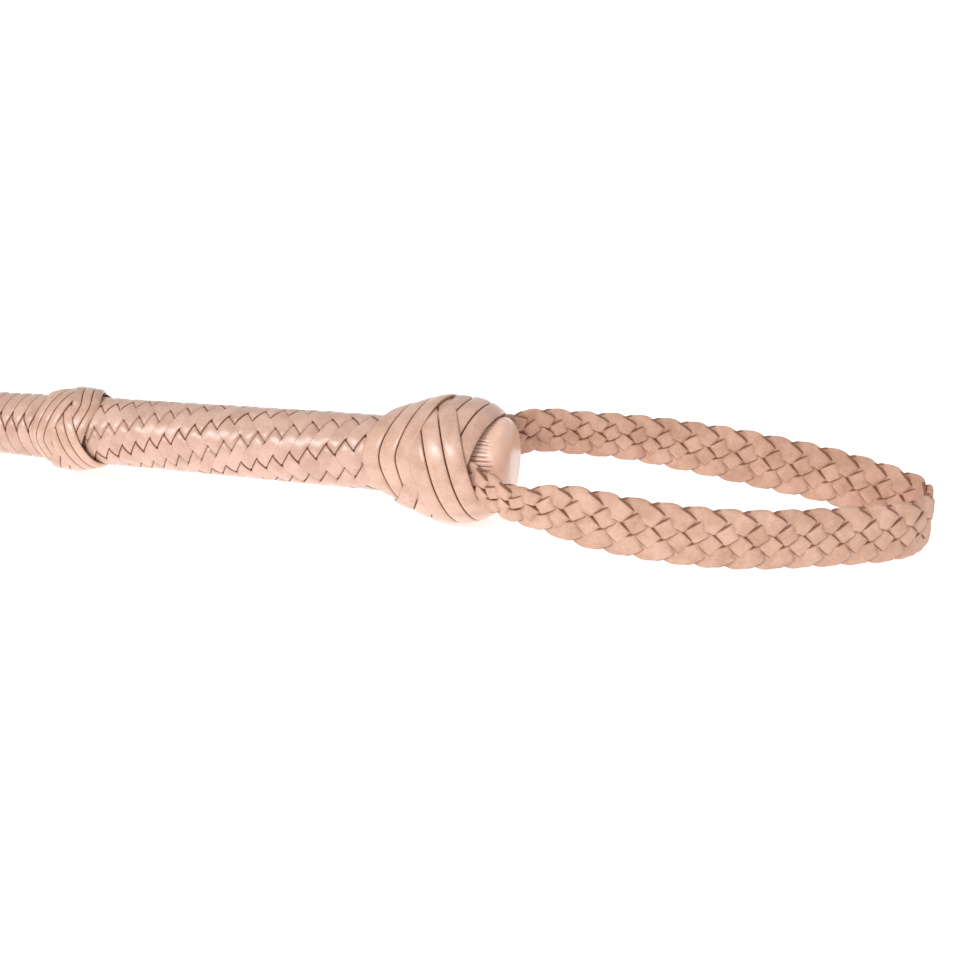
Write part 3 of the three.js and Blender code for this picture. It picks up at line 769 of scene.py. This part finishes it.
def add_grip():
    def turn(station):
        return np.radians(np.interp(station, *np.array(GRIP_TURNS, float).T))

    def pitch(station):
        return np.interp(station, *np.array(GRIP_PITCHES, float).T)

    plait = TubePlait(
        start=-121.9, end=-15, laces=8, pitch=pitch, radius=outline_radius(GRIP_OUTLINE),
        thickness=0.85, turn=turn, pull=0.12, fill=0.96, dip=0.3, close=1.0,
    )
    settle(plait.skin(8).build("grip_plait", PLAIT_LEATHER), "plaited_leather", "grip_cover")
    shade_lining("grip_shade_lining", GRIP_OUTLINE, 1.62)


def add_shaft():
    def pitch(station):
        return 1.32 + 0.68 * (station - SHAFT_START) / (SHAFT_END - SHAFT_START)

    def turn(station):
        return FACING + math.radians(20)

    plait = TubePlait(
        start=SHAFT_START, end=-115.5, laces=4, pitch=pitch, radius=shaft_radius,
        thickness=0.8, turn=turn, pull=0.55, fill=0.96, dip=0.3, close=0.45,
    )
    settle(plait.skin(6).build("shaft_plait", PLAIT_LEATHER), "plaited_leather", "shaft_cover")
    places = np.linspace(SHAFT_START, SHAFT_END, 24)
    shade_lining("shaft_shade_lining", [(s, float(shaft_radius(s))) for s in places], 1.58)


# The knots.

def add_ring_knot():
    bulge = [
        (-1, 10.7), (-0.8, 12.1), (-0.4, 12.95), (0, RING_RADIUS), (0.4, 12.95), (0.8, 12.1), (1, 10.7),
    ]
    bed = KnotBed([(RING_MIDDLE + share * RING_HALF_LENGTH, radius) for share, radius in bulge])
    skin = Skin()
    turned = FACING + math.radians(84)
    turks_head(
        skin, bed, leads=3, bights=3, passes=3, width=2.85, spacing=2.9, thickness=0.9,
        phase=turned, sharp=0.985, steps=300, hand=-1,
    )
    settle(skin.build("ring_knot_laces", KNOT_LEATHER), "plaited_leather", "ring_knot")


def add_butt_knot():
    bed = KnotBed(BUTT_KNOT_OUTLINE)
    skin = Skin()
    turned = FACING + math.radians(98)
    turks_head(
        skin, bed, leads=3, bights=2, passes=3, width=5.5, spacing=5.58, thickness=1.1,
        phase=turned, sharp=0.985, steps=420, hand=-1,
    )
    settle(skin.build("butt_knot_laces", KNOT_LEATHER), "plaited_leather", "butt_knot")


def add_tip_knot():
    bed = KnotBed(TIP_KNOT_OUTLINE)
    skin = Skin()
    turks_head(
        skin, bed, leads=3, bights=4, passes=3, width=2.3, spacing=2.4, thickness=0.6,
        phase=0.0, sharp=0.97, steps=200,
    )
    settle(skin.build("tip_knot_laces", KNOT_LEATHER), "plaited_leather", "tip_knot")


CAP_END = 18.81
CAP_PINHOLE = 0.1                # radius, where the revolved outline ends
CAP_INSIDE = [(18.0, 7.0), (16.4, 10.2), (14.6, 11.5), (7, 11.5)]
CAP_RIM_RADIUS = 11.6            # the pleats lie outside this radius
PLEATS = 74
PLEAT_DEPTH = 0.22
PLEAT_FADE = 3.0


def cap_pleats(stations, radii, around):
    """Creases of uneven length round the cap's side, where the leather is gathered."""
    crease = np.sin(PLEATS * around + 2.6 * np.sin(4 * around) + 1.8 * np.sin(7 * around + 1))
    crease = smooth_step((crease - 0.4) / 0.5)
    reach = 14.6 + 1.2 * np.sin(5 * around + 2) + 0.9 * np.sin(11 * around)
    return crease * smooth_step((reach - stations) / PLEAT_FADE) * (radii > CAP_RIM_RADIUS)


def add_butt_cap():
    outside = [*smooth_line(CAP_OUTLINE, 6), (CAP_END, 3 * CAP_PINHOLE), (CAP_END, CAP_PINHOLE)]
    outline = [*outside, (CAP_INSIDE[0][0], CAP_PINHOLE), *CAP_INSIDE]
    sides = 480
    stations, radii = np.array(outline, float).T
    crease = cap_pleats(stations, radii, np.arange(sides)[:, None] * 2 * math.pi / sides)

    def press_in(stations, radii, around):
        return stations, radii - PLEAT_DEPTH * crease

    skin = Skin()
    # The crease value also darkens the pleats as painted shade.
    revolve(skin, outline, sides, press_in, edge=crease, under=0.0, lace=0.5)
    settle(skin.build("butt_cap_leather", CAP_LEATHER), "smooth_leather", "butt_cap")


# The keeper: one strip folded at its far end, both ends bound under the tip knot.

KEEPER_LENGTH = 84.0
KEEPER_WIDTH = 27.0
KEEPER_NECK = 12.0               # width at the neck
KEEPER_ROOT = 7.0                # width under the tip knot
KEEPER_LEAF = 2.05               # thickness of the leather
KEEPER_CORNER = 5.0
KEEPER_RIM = 0.06                # share of the half width over which the strip's edges round off
KEEPER_RIM_HEIGHT = 0.3          # half height left at the very edge, as a share of the thickness


def keeper_half_width(reach):
    """Half the strip's width at a distance from the hinge, negative inside the tip knot."""
    neck = KEEPER_ROOT + (KEEPER_NECK - KEEPER_ROOT) * smooth_step((reach + 6) / 8)
    half = (neck + (KEEPER_WIDTH - KEEPER_NECK) * smooth_step((reach - 3) / 24)) / 2
    from_end = np.clip(KEEPER_LENGTH - reach, 0, KEEPER_CORNER)
    corner = KEEPER_CORNER - np.sqrt(KEEPER_CORNER**2 - (KEEPER_CORNER - from_end) ** 2)
    return half - corner


def keeper_line():
    """Middle of the folded strip as reach from the hinge and height above the hinge."""
    floor = -KEEPER_HINGE[2] / MM
    low = floor + KEEPER_LEAF / 2 + 0.05
    high = low + KEEPER_LEAF + 0.6
    top = [
        (-24, 2.4), (-12, 2.5), (-5, 1.5), (0, 1.25), (6, 0.0), (16, -1.15), (22, high + 0.5),
        (30, high), (50, high), (70, high), (76, high + 0.3), (80, high + 0.5),
    ]
    bottom = [
        (80, low), (70, low), (50, low), (30, low), (22, low), (15, -4.15), (6, -2.2), (0, -1.25),
        (-5, -1.5), (-12, -2.5), (-24, -2.4),
    ]
    fold = (KEEPER_LENGTH - KEEPER_LEAF / 2, (low + high) / 2 + 0.2)
    return smooth_line([*top, (82.3, high), fold, (82.3, low + 0.35), *bottom], 8)


def keeper_section():
    """Places across the strip, from -1 to 1 and back underneath, and their heights."""
    spread = np.linspace(-1, 1, 13)
    outer = np.clip((np.abs(spread) - 1 + KEEPER_RIM) / KEEPER_RIM, 0, 1)
    upper = np.sqrt(1 - outer**2) * (0.5 - KEEPER_RIM_HEIGHT) + KEEPER_RIM_HEIGHT
    across = np.concatenate([spread, spread[::-1]])
    return across, np.concatenate([upper, -upper[::-1]]) * KEEPER_LEAF


def add_keeper():
    line = keeper_line()
    distance = lengths_along(line)
    tangent = np.gradient(line, distance, axis=0)
    normal = np.stack([tangent[:, 1], -tangent[:, 0]], 1)
    normal /= np.linalg.norm(normal, axis=1)[:, None]
    half = keeper_half_width(line[:, 0])[:, None]
    across, height = keeper_section()
    reach = line[:, :1] + normal[:, :1] * height
    rise = line[:, 1:] + normal[:, 1:] * height
    rings = KEEPER_HINGE + MM * (
        -reach[..., None] * np.array((1.0, 0, 0)) + (half * across)[..., None] * NEAR
        + rise[..., None] * UP
    )
    skin = Skin()
    skin.add_tube(rings, edge=np.abs(across) ** 8, under=0.0, lace=0.4)
    piece = skin.build("keeper_leather", CAP_LEATHER)
    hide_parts("keeper", "keeper_root_upper", "keeper_root_lower")
    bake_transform(piece)


# The studio, in metres.

FLOOR_REACH = 3
FLOOR_DROP = 0.0002              # keeps the paper clear of the leather that rests on it


def add_floor():
    shade = Shading("paper_floor")
    pale = (0.94, 0.94, 0.94, 1)
    color = shade.mix(shade.span(shade.noise(0.02), 0.3, 0.7), pale, (0.92, 0.92, 0.92, 1))
    rough = shade.span(shade.noise(0.2), 0.3, 0.7, 0.6, 0.7)
    material = shade.finish(
        color, rough, Emission_Color=(1, 1, 1, 1), Emission_Strength=0.56,
    )
    mesh = bpy.data.meshes.new("floor")
    reach = FLOOR_REACH
    corners = [(-reach, -reach, 0), (reach, -reach, 0), (reach, reach, 0), (-reach, reach, 0)]
    mesh.from_pydata(corners, [], [(0, 1, 2, 3)])
    mesh.materials.append(material)
    floor = add_object("floor", mesh)
    floor.location.z = -FLOOR_DROP


def add_lamp(name, place, size, power, target):
    data = bpy.data.lights.new(name, "AREA")
    data.shape = "RECTANGLE"
    data.size, data.size_y = size
    data.energy = power
    lamp = add_object(name, data)
    lamp.location = place
    lamp.rotation_euler = (Vector(place) - Vector(target)).to_track_quat("Z", "Y").to_euler()


def add_light():
    world = bpy.data.worlds.new("studio")
    bpy.context.scene.world = world
    world.use_nodes = True
    background = world.node_tree.nodes["Background"]
    background.inputs["Color"].default_value = (1, 1, 1, 1)
    background.inputs["Strength"].default_value = 0.66
    add_lamp("key", (-0.1, -0.85, 0.68), (0.5, 0.07), 6.5, BUTT)
    add_lamp("top", (0.2, 0.3, 1.0), (1.4, 0.8), 1.5, BUTT)
    bpy.context.scene.view_settings.view_transform = "Standard"


add_camera()
add_wrist_loop()
dress_cad_nodes()
add_grip()
add_shaft()
add_ring_knot()
add_butt_knot()
add_tip_knot()
add_butt_cap()
add_keeper()
add_floor()
add_light()
